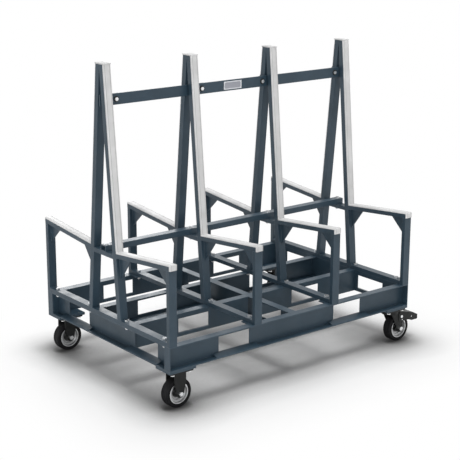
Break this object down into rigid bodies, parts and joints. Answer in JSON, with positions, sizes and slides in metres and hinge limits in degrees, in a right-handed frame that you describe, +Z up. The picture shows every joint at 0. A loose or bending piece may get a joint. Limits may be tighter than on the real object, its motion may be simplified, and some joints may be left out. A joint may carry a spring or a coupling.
{
  "type": "sheet goods cart",
  "caption": "Steel cart for sheet goods: A-shaped racks with faced arms and legs on a channel base with fork pockets, rigid and braked swivel casters.",
  "frame": {"origin": "on the floor, under the middle of the base", "axes": "+X along the cart towards the swivel casters, -Y the front long side, +Z up"},
  "size_m": [1.542, 1.014, 1.455],
  "materials": {
    "steel": "satin",
    "facing": "matt",
    "zinc": "zinc plated",
    "rim": "cast",
    "tyre": "matt",
    "caster": "satin"
  },
  "bodies": {
    "cart": {"front_channel": "steel", "back_channel": "steel", "left_end_channel": "steel", "right_end_channel": "steel", "front_inner_channel": "steel", "rear_inner_channel": "steel", "mid_cross_channel": "steel", "channel_end_plates": "steel", "fork_ramps": "steel", "rail_lugs": "steel", "corner_pads": "steel", "lower_rail_1": "steel", "lower_rail_2": "steel", "lower_rail_3": "steel", "lower_rail_4": "steel", "posts_1": "steel", "posts_2": "steel", "posts_3": "steel", "posts_4": "steel", "a_legs_1": "steel", "a_legs_2": "steel", "a_legs_3": "steel", "a_legs_4": "steel", "arms_1": "steel", "arms_2": "steel", "arms_3": "steel", "arms_4": "steel", "facings_1": "facing", "facings_2": "facing", "facings_3": "facing", "facings_4": "facing", "leg_gussets": "steel", "post_gussets": "steel", "top_caps": "facing", "upper_tie_bar": "steel", "tie_brackets": "steel", "lower_tie_tube": "steel", "rail_bolts": "zinc", "tie_bolts": "zinc", "caster_bolts": "zinc", "rigid_fork_front": "caster", "rigid_fork_back": "caster", "rigid_axles": "zinc", "swivel_plates": "caster", "kingpins": "zinc"},
    "swivel_front": {"swivel_fork_front": "caster", "swivel_pins_front": "zinc"},
    "pedal_front": {"brake_pedal_front": "caster"},
    "rigid_wheel_front": {"wheel_rigid_front": "rim", "tyre_rigid_front": "tyre"},
    "swivel_wheel_front": {"wheel_swivel_front": "rim", "tyre_swivel_front": "tyre"},
    "swivel_back": {"swivel_fork_back": "caster", "swivel_pins_back": "zinc"},
    "pedal_back": {"brake_pedal_back": "caster"},
    "rigid_wheel_back": {"wheel_rigid_back": "rim", "tyre_rigid_back": "tyre"},
    "swivel_wheel_back": {"wheel_swivel_back": "rim", "tyre_swivel_back": "tyre"}
  },
  "joints": [
    {"name": "swivel_front_turn", "type": "hinge", "parent": "cart", "child": "swivel_front", "pos_m": [0.655, -0.448, 0.151], "axis": [0, 0, 1], "continuous": true},
    {"name": "swivel_wheel_front_spin", "type": "hinge", "parent": "swivel_front", "child": "swivel_wheel_front", "pos_m": [0.701, -0.448, 0.0675], "axis": [0, 1, 0], "continuous": true},
    {"name": "rigid_wheel_front_spin", "type": "hinge", "parent": "cart", "child": "rigid_wheel_front", "pos_m": [-0.655, -0.448, 0.0675], "axis": [0, 1, 0], "continuous": true},
    {"name": "pedal_front_press", "type": "hinge", "parent": "swivel_front", "child": "pedal_front", "pos_m": [0.703, -0.448, 0.1305], "axis": [0, 1, 0], "range_deg": [0, 10]},
    {"name": "swivel_back_turn", "type": "hinge", "parent": "cart", "child": "swivel_back", "pos_m": [0.655, 0.448, 0.151], "axis": [0, 0, 1], "continuous": true},
    {"name": "swivel_wheel_back_spin", "type": "hinge", "parent": "swivel_back", "child": "swivel_wheel_back", "pos_m": [0.701, 0.448, 0.0675], "axis": [0, 1, 0], "continuous": true},
    {"name": "rigid_wheel_back_spin", "type": "hinge", "parent": "cart", "child": "rigid_wheel_back", "pos_m": [-0.655, 0.448, 0.0675], "axis": [0, 1, 0], "continuous": true},
    {"name": "pedal_back_press", "type": "hinge", "parent": "swivel_back", "child": "pedal_back", "pos_m": [0.703, 0.448, 0.1305], "axis": [0, 1, 0], "range_deg": [0, 10]}
  ]
}
